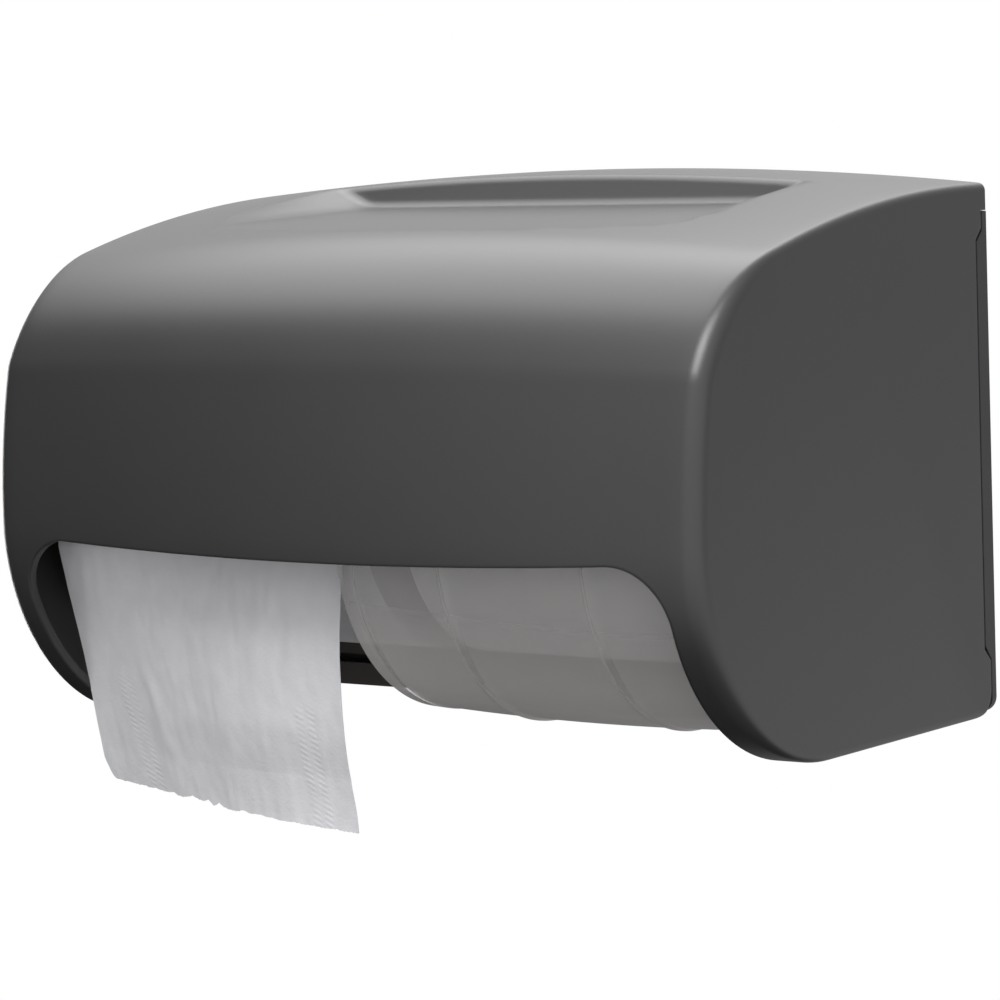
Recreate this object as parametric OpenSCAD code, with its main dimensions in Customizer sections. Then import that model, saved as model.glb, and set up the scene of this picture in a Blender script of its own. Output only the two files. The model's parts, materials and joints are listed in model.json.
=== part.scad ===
// Side-by-side dispenser for two standard toilet tissue rolls.
// A moulded cover hinges down off a wall plate, a smoke shutter slides across
// the outlet so that one roll is open at a time, and each roll turns on a
// sprung telescopic spindle held between two arms.
// Millimetres. X runs to the right, the front faces -Y, Z is up. The origin is
// the middle of the four wall screws, on the wall plane.

/* [Tissue rolls] */
// Width of a tissue roll
roll_w = 114; // [100:0.5:120]
// Diameter of a full roll
roll_d = 102; // [80:1:104]
// Inside diameter of the cardboard core
core_d = 40; // [36:0.5:44]
// Thickness of the cardboard
core_wall = 1.2; // [0.8:0.1:2]
// Free space at each end of a roll
roll_gap = 1.75; // [1:0.25:3]
// Height of the roll axis over the underside
axis_up = 76.5; // [74:0.5:78]
// Distance of the roll axis from the cover's front at its ends
axis_in = 78; // [76:0.5:82]

/* [Cover] */
// Height of the cover at its ends
body_h = 166.8; // [160:0.2:180]
// Depth of the cover at its ends
body_d = 167.5; // [160:0.5:185]
// How far the middle of the top and front stands out past the ends
crown = 6.5; // [3:0.25:8]
// Wall thickness of the cover
wall = 3; // [2.4:0.1:3.4]
// Radius of the lower front curve
lower_r = 69; // [66:0.5:74]
// Lean of the front face at its upper end, in degrees
front_lean = 12.1; // [9:0.1:15]
// Radius of the tight bend where the front ends
shoulder_r = 16.75; // [12:0.25:24]
// Turn of that bend, in degrees
shoulder_turn = 14.5; // [10:0.5:20]
// Radius of the long bend into the top
brow_r = 62.25; // [50:0.25:70]
// Length of the flat at the rear of the top
rear_flat = 8; // [4:0.5:12]
// Turn of the nearly flat top, in degrees
top_turn = 14.5; // [12:0.1:15]
// Rounding of the end edges at the front
end_r_front = 8; // [6:0.5:12]
// Rounding of the end edges at the wall
end_r_rear = 2.8; // [2:0.1:5]

/* [Outlet opening] */
// Width of the cover's band at each side of the opening
band_w = 11.5; // [9:0.5:14]
// Height of the opening's upper corners
outlet_top = 63.8; // [58:0.2:66]
// How far the opening's upper edge dips in the middle
outlet_dip = 2; // [1:0.25:4]
// Corner radius of the opening
outlet_r = 21; // [12:0.5:24]

/* [Top shelf] */
// Depth of the shelf's back edge under the crown of the cover
shelf_drop = 10; // [8:0.5:13]
// Fall of the shelf floor towards the front, in degrees
shelf_fall = 2.8; // [1:0.1:5]
// Distance of the shelf's back wall from the wall plane
shelf_back = 41; // [36:0.5:50]
// Half the width of the shelf floor at its back wall
shelf_half = 75; // [50:1:85]
// Depth of the cut that makes the shelf
shelf_deep = 80; // [70:1:90]
// Splay of each end of the floor towards the front
shelf_splay = 20; // [8:1:24]
// Run of the shelf's end slopes for each millimetre of height
shelf_slope = 3; // [1:0.25:4]
// Corner radius of the shelf
shelf_r = 5; // [4:0.5:10]

/* [Shutter] */
// Gap between the cover's inside and the shutter
shutter_gap = 6; // [5:0.25:7]
// Thickness of the shutter
shutter_t = 2.2; // [1.6:0.1:2.4]
// How far the shutter rises past its centre height, in degrees
shutter_rise = 12; // [9:0.5:13]
// How far the shutter reaches past the middle of the opening
shutter_lap = 3.7; // [2:0.1:6]
// Gap between the shutter and each stop
stop_gap = 0.3; // [0.2:0.05:0.6]
// Clearance of the shutter in its rails
shutter_clear = 0.4; // [0.3:0.05:0.6]
// Height of the moulded ribs on the shutter
rib_h = 0.7; // [0.4:0.1:1.2]
// Width of the moulded ribs
rib_w = 1.8; // [1.2:0.1:3]
// Distance of the two middle ribs from the shutter's middle
rib_out = 26.1; // [16:0.1:36]

/* [Shutter rails] */
// Thickness of the upper rail's web
rail_t = 2; // [1.6:0.1:2.4]
// Height of the upper rail's grooved block
rail_block = 10; // [9:0.5:12]
// Height of the web over the block
rail_web = 9; // [8:0.5:11]
// Distance of the upper rail's outer screws from its middle
rail_screw_x = 100; // [80:1:110]
// Depth of the lower rail, front to back
low_rail_w = 12; // [11:0.5:13]
// Height of the lower rail
low_rail_h = 14.6; // [10:0.1:15]
// Height of the lower rail over the top of its groove
low_rail_lip = 4; // [3:0.25:5]
// Depth of the lower rail's groove
low_groove = 6; // [4:0.5:7]
// Distance of the lower rail from the wall
low_rail_back = 20; // [19.5:0.25:23]

/* [Wall plate] */
// Thickness of the plate
panel_t = 2.5; // [2:0.1:2.8]
// Height of the cover's lip over the plate
lip_h = 7.8; // [6.5:0.1:10]
// Depth of the rim along the plate's sides
rim_d = 6; // [5:0.25:7]
// Width of the seam between rim and cover
seam = 0.8; // [0.5:0.1:1.2]
// Spacing of the wall screws, side to side
screw_dx = 160; // [140:1:170]
// Spacing of the wall screws, up and down
screw_dz = 80; // [70:1:90]
// Height of the middle of the wall screws over the underside
screw_up = 84; // [78:0.5:88]
// Diameter of the wall screw holes
screw_hole = 5.5; // [4:0.1:6]

/* [Hinge] */
// Distance of the hinge axis from the wall
hinge_out = 11.5; // [11.2:0.05:12.5]
// Height of the hinge axis over the underside
hinge_up = 8.6; // [8:0.05:8.7]
// Diameter of the hinge pins
hinge_pin_d = 5; // [4:0.25:6]
// Radial clearance of the pins in the cover
hinge_clear = 0.05; // [0.02:0.01:0.1]
// Radius of the cover's ear round the hinge axis
ear_r = 8.4; // [7.5:0.05:8.5]
// Thickness of the hinge lugs on the plate
lug_t = 6; // [5:0.25:7]
// Side gap between lug and cover
lug_gap = 0.5; // [0.3:0.1:1]

/* [Roll arms] */
// Thickness of a side arm
side_arm_t = 4; // [3.5:0.25:5]
// Thickness of the middle arm
mid_arm_t = 12; // [12:0.5:16]
// Gap between a side arm and the cover
cheek_gap = 3; // [2:0.25:4]
// Radius of an arm's round tip
arm_tip_r = 13; // [11:0.5:16]
// Height of an arm at its foot
arm_root = 52; // [44:1:60]
// Thickness of an arm's foot
foot_t = 3; // [2.5:0.25:4]
// Width of the foot beside the arm
foot_w = 20; // [18:0.5:24]
// Height of the pads that the feet sit on
pad_h = 4.5; // [3.5:0.25:5]
// Width of the rim round an arm
arm_rim = 3; // [2:0.25:4]

/* [Spindles] */
// Diameter of the spindle's journals
journal_d = 8; // [6:0.5:10]
// Radial clearance of the journals in the arms
journal_clear = 0.05; // [0.02:0.01:0.1]
// Wall thickness of the spindle halves
spindle_wall = 1.6; // [1.2:0.1:2]
// Length of the outer half
sleeve_len = 62; // [54:1:70]
// Length of the sprung half inside the outer half
spindle_lap = 27; // [20:1:32]
// Radial clearance between the halves, and under the core
slide_clear = 0.3; // [0.2:0.05:0.4]
// How far the sprung half can be pressed in
press_travel = 6; // [5.2:0.1:7]
// Diameter of the spring's wire
wire_d = 1.4; // [1:0.1:1.8]
// Mean diameter of the spring
spring_d = 24; // [20:0.5:28]
// Turns of the spring
spring_turns = 7; // [5:1:9]

/* [Lock] */
// Distance of the lock's axis from the wall
lock_out = 22; // [21:0.25:24]
// Depth of the lock's axis under the top of the cover's ends
lock_drop = 18.8; // [18:0.2:22]
// Diameter of the lock's shank
lock_d = 8; // [7:0.25:9]
// Radial clearance of the shank in its boss
lock_clear = 0.05; // [0.02:0.01:0.1]
// Length of the lock's boss on the cover's end wall
boss_len = 4; // [4:0.1:4.5]
// Length of the tongue from the lock's axis
tongue_len = 13.5; // [12:0.25:14]
// Width of the tongue
tongue_w = 5; // [4:0.25:6]
// Thickness of the tongue
tongue_t = 2.8; // [2.4:0.1:3]
// Play between the turned tongue and the strike's hook
hook_gap = 1; // [0.5:0.1:2]
// Width of the strike's foot
strike_w = 22; // [20:0.5:26]
// Gap between the strike and the arm's foot under it
strike_gap = 4; // [2:0.5:8]
// Distance between the strike's two screws
strike_pitch = 8; // [7:0.5:10]

/* [Tissue tail] */
// Thickness of the hanging tissue as a solid
tail_t = 0.8; // [0.6:0.1:1.2]
// Gap between the tail and the roll
tail_gap = 2.6; // [0.5:0.1:3]
// How far the torn edge hangs under the cover, at its outer side
tail_low_out = 14; // [5:1:30]
// How far the torn edge hangs under the cover, at its inner side
tail_low_in = 23; // [10:1:40]

/* [Screws] */
// Diameter of the small screws
small_screw = 3; // [2.5:0.1:3.4]
// Diameter of their heads
small_head = 6; // [5:0.25:7]

/* [Hidden] */
$fn = 64;

charcoal = [0.27, 0.27, 0.28];
plate_grey = [0.16, 0.15, 0.15];
smoke = [0.42, 0.41, 0.42, 0.7];
paper_white = [0.86, 0.86, 0.88];
card_brown = [0.66, 0.54, 0.40];
steel = [0.72, 0.73, 0.75];
arm_grey = [0.20, 0.20, 0.21];
spindle_grey = [0.62, 0.62, 0.63];

// Small overlap that joins solids and clears cuts
eps = 0.01;
over = 2;

// Widths, from the rolls outward
roll_r = roll_d / 2;
mid_half = mid_arm_t / 2;
bay_w = roll_w + 2 * roll_gap;
arm_in = mid_half + bay_w;
arm_out = arm_in + side_arm_t;
cheek_in = arm_out + cheek_gap;
half_w = cheek_in + wall;
roll_mid = mid_half + bay_w / 2;
axis_out = body_d - axis_in;

// The side outline is a chain of tangent arcs, from the flat underside round
// the front to the flat rear of the top. The radii of the front and of the top
// follow from the depth and the height that the other arcs leave to them.
shoulder_end = front_lean + shoulder_turn;
brow_turn = 90 - shoulder_end - top_turn;
depth_left = body_d - rear_flat
    - shoulder_r * (cos(front_lean) - cos(shoulder_end))
    - brow_r * (cos(shoulder_end) - sin(top_turn));
height_left = body_h - lower_r
    - shoulder_r * (sin(shoulder_end) - sin(front_lean))
    - brow_r * (cos(top_turn) - sin(shoulder_end));
chain = sin(front_lean) * sin(top_turn) - (1 - cos(front_lean)) * (1 - cos(top_turn));
front_r = (height_left * sin(top_turn) - depth_left * (1 - cos(top_turn))) / chain;
top_r = (depth_left * sin(front_lean) - height_left * (1 - cos(front_lean))) / chain;
lower_c = [lower_r - body_d, lower_r];
front_c = [front_r - body_d, lower_r];
shoulder_c = front_c + (front_r - shoulder_r) * [-cos(front_lean), sin(front_lean)];
brow_c = shoulder_c + (shoulder_r - brow_r) * [-cos(shoulder_end), sin(shoulder_end)];
top_c = brow_c + (brow_r - top_r) * [-sin(top_turn), cos(top_turn)];

// Opening, shutter and rails
outlet_half = half_w - band_w;
shutter_ro = lower_r - wall - shutter_gap;
shutter_ri = shutter_ro - shutter_t;
shutter_floor = lower_r - shutter_ro;
shutter_end = cheek_in - 5.5;
shutter_w = shutter_end + shutter_lap;
shutter_mid = (shutter_end - shutter_lap) / 2;
shutter_top = lower_r + shutter_ro * sin(shutter_rise);
stop_half = shutter_end + stop_gap;
rail_half = cheek_in - stop_gap;
rail_corner = end_r_front - wall;
groove_ro = shutter_ro + shutter_clear;
groove_ri = shutter_ri - shutter_clear;
web_back = lower_c[0] - groove_ro;
web_front = web_back - rail_t;
rail_screws = [-rail_screw_x, 0, rail_screw_x];
block_top = shutter_top + shutter_clear + rail_t;
block_bottom = block_top - rail_block;
block_back = lower_c[0] - groove_ri * cos(shutter_rise) + rail_t;
web_top = block_top + rail_web;
web_screw_z = block_top + rail_web / 2;
rail_screw_len = web_back - front_y(rail_screw_x, web_screw_z) - wall - 0.6;
low_rail_front = -low_rail_back - low_rail_w;
low_rail_top = shutter_floor + shutter_t + shutter_clear + low_rail_lip;
low_rail_z = low_rail_top - low_rail_h;
low_screw_y = -low_rail_back - (low_rail_w - low_groove) / 2;
low_screw_x = rail_half - small_head / 2 - 1;

// Wall plate and cover edges at the wall
rear_gap = 0.3;
seam_y = rim_d + seam;
ear_back = ear_r - hinge_out;
seam_low = hinge_up + ear_r + seam;
seam_high = seam_low + (seam_y + ear_back);
lip_z = body_h - lip_h;
plate_low = 1;
plate_top = lip_z - seam;
rim_top = plate_top - 1.2;
rim_step = rim_d - panel_t;
rim_bend = lip_z - 6;

// Arms and spindles
pad_y = -panel_t - pad_h;
foot_y = pad_y - foot_t;
foot_screw_z = arm_root / 2 - 6;
journal_r = journal_d / 2;
socket_deep = mid_half - 1;
spindle_gap = 0.5;
core_ro = core_d / 2 + core_wall;
sleeve_ro = core_d / 2 - 0.1;
sleeve_ri = sleeve_ro - spindle_wall;
plunger_ro = sleeve_ri - slide_clear;
plunger_ri = plunger_ro - spindle_wall;
disc_t = 2.5;
sleeve_x = arm_in - spindle_gap;
plunger_x = mid_half + spindle_gap;
sleeve_mouth = sleeve_x - sleeve_len;
plunger_in = sleeve_mouth + spindle_lap;
seat_t = 1.6;
seat_in = 4;
spring_gap = 0.05;

// Lock and strike, on the left end wall
lock_up = body_h - lock_drop;
boss_r = lock_d / 2 + 3.3;
boss_in = cheek_in - boss_len;
tongue_out = boss_in - 0.3;
tongue_in = tongue_out - tongue_t;
hub_r = lock_d / 2 + 1.5;
shank_out = half_w - 2.7;
key_r = 2.6;
clip_t = 0.9;
clip_x = boss_in + boss_len / 2 - clip_t / 2;
clip_groove = 0.6;
clip_r = lock_d / 2 + 1.6;
strike_pad = 3;
strike_t = 2;
strike_y = -panel_t - strike_pad;
hook_t = 2.5;
hook_y = -lock_out - tongue_w / 2 - hook_gap - hook_t;
hook_x = tongue_out + 0.3;
hook_w = tongue_t + 0.9;
tab_top = lock_up - tongue_len - 0.6;
tab_t = 3;
hook_top = tab_top + 6;
strike_low = axis_up + arm_root / 2 + strike_gap;
strike_in = hook_x - strike_w;
strike_screws_x = [strike_in + 5, strike_in + 5 + strike_pitch];
strike_screw_z = (strike_low + tab_top) / 2;
head_h = 1.8;

// ---------------------------------------------------------------- helpers

// Everything is drawn with z = 0 at the underside and set down to the origin.
module placed() { translate([0, 0, -screw_up]) children(); }

// A (y, z) drawing becomes a solid from x0 to x1.
module side_prism(x0, x1) {
    translate([x0, 0, 0]) rotate([90, 0, 90]) linear_extrude(x1 - x0) children();
}

// An (x, z) drawing becomes a solid from y0 to y1.
module front_prism(y0, y1) {
    translate([0, y1, 0]) rotate([90, 0, 0]) linear_extrude(y1 - y0) children();
}

module x_cyl(r, x0, x1, y, z) {
    translate([x0, y, z]) rotate([0, 90, 0]) cylinder(r = r, h = x1 - x0);
}

module y_cyl(r, y0, y1, x, z) {
    translate([x, y1, z]) rotate([90, 0, 0]) cylinder(r = r, h = y1 - y0);
}

module z_cyl(r, z0, z1, x, y) {
    translate([x, y, z0]) cylinder(r = r, h = z1 - z0);
}

module box(x0, x1, y0, y1, z0, z1) {
    translate([x0, y0, z0]) cube([x1 - x0, y1 - y0, z1 - z0]);
}

module both_sides() {
    children();
    mirror([1, 0, 0]) children();
}

// Rectangle with round corners, from corner a to corner b.
module round_rect(a, b, r) {
    translate(a + [r, 0]) square([b[0] - a[0] - 2 * r, b[1] - a[1]]);
    translate(a + [0, r]) square([b[0] - a[0], b[1] - a[1] - 2 * r]);
    for (x = [a[0] + r, b[0] - r], z = [a[1] + r, b[1] - r]) translate([x, z]) circle(r);
}

// Where a line from p touches the circle of radius r round c, on side s.
function touch(p, c, r, s) =
    let (d = c - p, len = norm(d), a = atan2(d[1], d[0]) + s * asin(r / len))
    p + sqrt(len * len - r * r) * [cos(a), sin(a)];

// Distance of the front face from the wall at height z and offset x.
function crown_at(x) = crown * (1 - pow(x / half_w, 2));
function front_y(x, z) =
    front_c[0] - sqrt(front_r * front_r - pow(z - lower_r, 2)) - crown_at(x);

// ------------------------------------------------------------- cover form

// Points [y, z, normal angle] of the side outline.
function arc_run(c, r, a0, a1, n) =
    [for (i = [1:n]) let (a = a0 + (a1 - a0) * i / n)
        [c[0] + r * cos(a), c[1] + r * sin(a), a]];

function flat_run(y0, y1, z, a, n) =
    [for (i = [0:n]) [y0 + (y1 - y0) * i / n, z, a]];

outline = concat(
    flat_run(0, lower_c[0], 0, 270, 4),
    arc_run(lower_c, lower_r, 270, 180, 20),
    arc_run(front_c, front_r, 180, 180 - front_lean, 6),
    arc_run(shoulder_c, shoulder_r, 180 - front_lean, 180 - shoulder_end, 4),
    arc_run(brow_c, brow_r, 90 + top_turn + brow_turn, 90 + top_turn, 14),
    arc_run(top_c, top_r, 90 + top_turn, 90, 10),
    [[0, body_h, 90]]
);

// The end edges round over more at the front than at the wall.
function end_r(y) = end_r_rear
    + (end_r_front - end_r_rear) * min(1, max(0, (-y - 30) / 90));

// Stations along x: [side, share of the middle, angle round the end edge].
function stations(steps, spans) = concat(
    [for (i = [0:steps]) [-1, 0, 90 - 90 * i / steps]],
    [for (i = [1:spans - 1]) [0, -1 + 2 * i / spans, 0]],
    [for (i = [0:steps]) [1, 0, 90 * i / steps]]
);

function form_point(s, p, inset, back) =
    let (
        half = half_w - inset,
        r = max(1, end_r(p[0]) - inset),
        x = s[0] == 0 ? s[1] * (half - r) : s[0] * (half - r * (1 - sin(s[2]))),
        n = [cos(p[2]), sin(p[2])],
        in = inset + r * (1 - cos(s[2])),
        y = p[0] + crown_at(x) * min(0, n[0]) - in * n[0],
        z = p[1] + crown_at(x) * max(0, n[1]) - in * n[1]
    )
    [x, p[0] == 0 ? back : y, z];

// The cover's full form, moved in by inset, with its back face at y = back.
module form(inset, back, steps, spans) {
    st = stations(steps, spans);
    m = len(outline);
    n = len(st);
    points = [for (s = st, p = outline) form_point(s, p, inset, back)];
    skin = [for (i = [0:n - 2], j = [0:m - 2])
        [i * m + j, i * m + j + 1, (i + 1) * m + j + 1, (i + 1) * m + j]];
    rear = [for (i = [0:n - 2])
        [i * m + m - 1, i * m, (i + 1) * m, (i + 1) * m + m - 1]];
    ends = [[for (j = [m - 1:-1:0]) j], [for (j = [0:m - 1]) (n - 1) * m + j]];
    polyhedron(points, concat(skin, rear, ends));
}

// Outline of the space over the shelf at height h over the floor, grown by g.
module shelf_plan(g, h) {
    half = shelf_half + g + shelf_slope * h;
    for (s = [-1, 1]) {
        translate([s * (half - shelf_r), g - shelf_r]) circle(shelf_r, $fn = 32);
        translate([s * (half + shelf_splay - shelf_r), -shelf_deep]) circle(shelf_r, $fn = 32);
    }
}

// The space over the shelf: a floor that falls to the front, a steep back wall
// and two long end slopes.
module shelf_space(g) {
    rise = 14;
    translate([0, -shelf_back, body_h + crown - shelf_drop]) rotate([shelf_fall, 0, 0]) hull() {
        translate([0, 0, -g]) linear_extrude(eps) shelf_plan(g, 0);
        translate([0, 0, rise]) linear_extrude(eps) shelf_plan(g, rise);
    }
}

module outlet() {
    dip_r = pow(outlet_half - outlet_r, 2) / (2 * outlet_dip);
    difference() {
        round_rect([-outlet_half, -2 * outlet_r], [outlet_half, outlet_top], outlet_r);
        translate([0, outlet_top - outlet_dip + dip_r]) circle(dip_r, $fn = 360);
    }
}

// What the cover's end walls leave free at the wall: the plate's rim, and a
// round corner about the hinge axis so that the cover can swing.
module cheek_back() {
    difference() {
        polygon([
            [-seam_y, rim_bend - rim_step], [-seam_y + rim_step, rim_bend],
            [-seam_y + rim_step, lip_z], [over, lip_z], [over, -over], [-hinge_out, -over],
            [-hinge_out, hinge_up], [ear_back, hinge_up],
            [ear_back, seam_low], [-seam_y, seam_high]
        ]);
        translate([-hinge_out, hinge_up]) circle(ear_r);
    }
}

module cover_shell() {
    difference() {
        form(0, -rear_gap, 6, 24);
        shelf_space(0);
        difference() {
            form(wall, over, 3, 12);
            shelf_space(wall);
        }
        front_prism(-body_d - 2 * crown, over) outlet();
        side_prism(-half_w - over, half_w + over) cheek_back();
    }
}

module cover() {
    color(charcoal) placed() difference() {
        union() {
            cover_shell();
            x_cyl(boss_r, -half_w + wall / 2, -boss_in, -lock_out, lock_up);
            both_sides()
                x_cyl(ear_r - 1.2, shutter_end, half_w - wall / 2, -hinge_out, hinge_up);
            for (x = rail_screws)
                y_cyl(4, front_y(x, web_screw_z) + wall / 2, web_front, x, web_screw_z);
        }
        x_cyl(lock_d / 2 + lock_clear, -shank_out - 0.2, -boss_in + over, -lock_out, lock_up);
        x_cyl(key_r, -half_w - over, -boss_in, -lock_out, lock_up);
        clip_slot();
        both_sides() x_cyl(hinge_pin_d / 2 + hinge_clear,
            shutter_end - over, half_w - 2, -hinge_out, hinge_up);
        // Room for the plate's hinge lugs beside the opening.
        both_sides() box(outlet_half - over, shutter_end, -low_rail_back + 0.5, over,
            -over, wall + over);
        for (x = rail_screws)
            y_cyl(small_screw / 2, front_y(x, web_screw_z) + wall, web_front + over,
                x, web_screw_z);
        both_sides() z_cyl(small_screw / 2 + 0.2, -over, wall + over, low_screw_x, low_screw_y);
        both_sides() z_cyl(small_head / 2 + 0.2, -over, head_h + 0.2, low_screw_x, low_screw_y);
    }
}

// Window in the lock's boss through which the clip goes onto the shank.
module clip_slot() {
    x_cyl(clip_r + 0.3, -clip_x - clip_t - 0.3, -clip_x + 0.3, -lock_out, lock_up);
    box(-clip_x - clip_t - 0.3, -clip_x + 0.3, -lock_out - clip_r - 0.3, -lock_out + clip_r + 0.3,
        lock_up - boss_r - over, lock_up);
}

// ---------------------------------------------------------------- shutter

// Section of the shutter: an arc that runs into a flat floor.
module shutter_section(ro, ri, floor_end) {
    intersection() {
        difference() {
            translate(lower_c) circle(ro, $fn = 128);
            translate(lower_c) circle(ri, $fn = 128);
        }
        translate([lower_c[0] - ro - over, lower_r - ro - over])
            square([ro + over, shutter_top - lower_r + ro + over]);
    }
    translate([lower_c[0], lower_r - ro]) square([floor_end - lower_c[0], ro - ri]);
}

module shutter() {
    rib_x = [shutter_mid - shutter_w / 2, shutter_mid - shutter_w / 2 + 3.4,
        shutter_mid - rib_out, shutter_mid + rib_out,
        shutter_mid + shutter_w / 2 - 3.4 - rib_w, shutter_mid + shutter_w / 2 - rib_w];
    color(smoke) placed() {
        side_prism(shutter_mid - shutter_w / 2, shutter_mid + shutter_w / 2)
            shutter_section(shutter_ro, shutter_ri, low_rail_front + low_groove - stop_gap);
        // The ribs stop short of both rails.
        for (x = rib_x) side_prism(x, x + rib_w) intersection() {
            shutter_section(shutter_ro + rib_h, shutter_ro - shutter_t / 2, low_rail_front - 1);
            translate([-body_d - over, -over])
                square([body_d + over, block_bottom - 1 + over]);
        }
    }
}

// ------------------------------------------------------------------ rails

module upper_rail() {
    color(plate_grey) placed() difference() {
        union() {
            box(-rail_half, rail_half, web_front, block_back, block_bottom, block_top);
            box(-rail_half, rail_half, web_front, web_back, block_bottom, web_top);
        }
        side_prism(-stop_half, stop_half) difference() {
            translate(lower_c) circle(groove_ro, $fn = 128);
            translate(lower_c) circle(groove_ri, $fn = 128);
            translate([-2 * body_d, shutter_top + shutter_clear]) square([3 * body_d, body_h]);
        }
        for (x = rail_screws)
            y_cyl(small_screw / 2 + 0.2, web_front - over, web_back + over, x, web_screw_z);
        // The ends clear the rounding inside the cover's front corners.
        both_sides() translate([rail_half, web_front, 0]) rotate(45)
            cube([2 * rail_corner, sqrt(2) * rail_corner, 4 * body_h], center = true);
    }
}

module upper_rail_screws() {
    color(steel) placed() for (x = rail_screws)
        pan_screw_y(x, web_screw_z, web_back, -1, rail_screw_len);
}

// Screw along Y: the head sits on the face at y, on its side away from dir.
module pan_screw_y(x, z, y, dir, len) {
    translate([x, y, z]) rotate([dir > 0 ? -90 : 90, 0, 0]) pan_screw(len);
}

// Screw that points along +Z with its head under z = 0.
module pan_screw(len) {
    difference() {
        union() {
            cylinder(r = small_screw / 2 - 0.05, h = len);
            translate([0, 0, -head_h]) cylinder(r = small_head / 2, h = head_h);
        }
        translate([0, 0, -head_h - eps]) cylinder(r = small_screw / 3, h = head_h * 0.6, $fn = 6);
    }
}

// The rail hangs into the opening; its ends sit on the cover's floor.
module lower_rail() {
    foot_x = rail_half - 2 * (rail_half - low_screw_x);
    mid_x = outlet_half - stop_gap;
    color(plate_grey) placed() difference() {
        union() {
            box(-rail_half, rail_half, low_rail_front, -low_rail_back, wall + 1, low_rail_top);
            box(-mid_x, mid_x, low_rail_front, -low_rail_back, low_rail_z, wall + 1 + eps);
            both_sides() box(foot_x, rail_half - 0.8, low_rail_front, -low_rail_back,
                wall, wall + 1 + eps);
        }
        box(-stop_half, stop_half, low_rail_front - over, low_rail_front + low_groove,
            shutter_floor - shutter_clear, shutter_floor + shutter_t + shutter_clear);
        both_sides() z_cyl(small_screw / 2, wall - over, wall + 9, low_screw_x, low_screw_y);
    }
}

module lower_rail_screws() {
    color(steel) placed() both_sides()
        translate([low_screw_x, low_screw_y, head_h + 0.2]) pan_screw(9);
}

// -------------------------------------------------------------- wall plate

module plate_rim() {
    side_prism(half_w - panel_t, half_w) polygon([
        [0, seam_low], [-panel_t, seam_low], [-rim_d, seam_high + seam],
        [-rim_d, rim_bend - rim_step - seam], [-panel_t, rim_bend - seam],
        [-panel_t, rim_top], [0, rim_top]
    ]);
}

module hinge_lug() {
    x1 = shutter_end - lug_gap;
    x_cyl(hinge_out - panel_t - 2.5, x1 - lug_t, x1, -hinge_out, hinge_up);
    box(x1 - lug_t, x1, -hinge_out, -panel_t / 2,
        hinge_up - (hinge_out - panel_t - 2.5), hinge_up + (hinge_out - panel_t - 2.5));
}

module foot_pads() {
    for (x = [-1, 1] * (mid_half + foot_w / 2), s = [-1, 1])
        y_cyl(5, pad_y, -panel_t / 2, x, axis_up + s * foot_screw_z);
    for (x = [-1, 1] * (arm_in - foot_w / 2), s = [-1, 1])
        y_cyl(5, pad_y, -panel_t / 2, x, axis_up + s * foot_screw_z);
}

// The plate's upper edge follows the crown of the cover.
module plate_outline() {
    edge_r = (half_w * half_w + crown * crown) / (2 * crown);
    intersection() {
        round_rect([-half_w, plate_low], [half_w, plate_top + crown], 5);
        translate([0, plate_top + crown - edge_r]) circle(edge_r, $fn = 720);
    }
}

module back_plate() {
    rib_t = 1.6;
    rib_y = -panel_t - 2.5;
    hole_x = [-screw_dx / 2, screw_dx / 2];
    hole_z = [screw_up - screw_dz / 2, screw_up + screw_dz / 2];
    color(plate_grey) placed() difference() {
        union() {
            front_prism(-panel_t, 0) plate_outline();
            both_sides() plate_rim();
            both_sides() hinge_lug();
            foot_pads();
            // Stiffening rim under the cover's top, and ribs across the plate.
            front_prism(-8, -panel_t / 2) difference() {
                plate_outline();
                translate([0, -2.2]) plate_outline();
                for (s = [-1, 1]) translate([s * half_w, 0]) square([6, 2 * body_h], center = true);
                translate([-half_w, 0]) square([2 * half_w, body_h / 2]);
            }
            for (z = [24, plate_top - 38])
                box(-half_w + panel_t, half_w - panel_t, rib_y, -panel_t / 2, z, z + rib_t);
            for (x = [-1, 1] * (mid_half + foot_w + 6))
                box(x - rib_t / 2, x + rib_t / 2, rib_y, -panel_t / 2, 12, plate_top - 1);
            for (x = hole_x, z = hole_z) y_cyl(screw_hole / 2 + 4, rib_y, -panel_t / 2, x, z);
            front_prism(strike_y, -panel_t / 2)
                round_rect([-hook_x - 1, strike_low - 1], [-strike_in + 1, tab_top], 3);
        }
        for (x = hole_x, z = hole_z) y_cyl(screw_hole / 2, -10, over, x, z);
        both_sides() x_cyl(hinge_pin_d / 2 - 0.02, shutter_end - lug_gap - lug_t - over,
            shutter_end - lug_gap + over, -hinge_out, hinge_up);
        for (x = [-1, 1] * (mid_half + foot_w / 2), s = [-1, 1])
            y_cyl(small_screw / 2, pad_y - over, -1, x, axis_up + s * foot_screw_z);
        for (x = [-1, 1] * (arm_in - foot_w / 2), s = [-1, 1])
            y_cyl(small_screw / 2, pad_y - over, -1, x, axis_up + s * foot_screw_z);
        for (x = strike_screws_x)
            y_cyl(small_screw / 2, strike_y - over, -0.8, -x, strike_screw_z);
    }
}

module hinge_pin_left() {
    x1 = half_w - 2.5;
    color(steel) placed() mirror([1, 0, 0]) {
        x_cyl(hinge_pin_d / 2, shutter_end - lug_gap - lug_t - 0.5, x1 - 0.5,
            -hinge_out, hinge_up);
        translate([x1 - 0.5, -hinge_out, hinge_up]) rotate([0, 90, 0])
            cylinder(r1 = hinge_pin_d / 2, r2 = hinge_pin_d / 2 - 0.5, h = 0.5);
    }
}

module hinge_pin_right() { mirror([1, 0, 0]) hinge_pin_left(); }

// ------------------------------------------------------------------- arms

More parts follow.
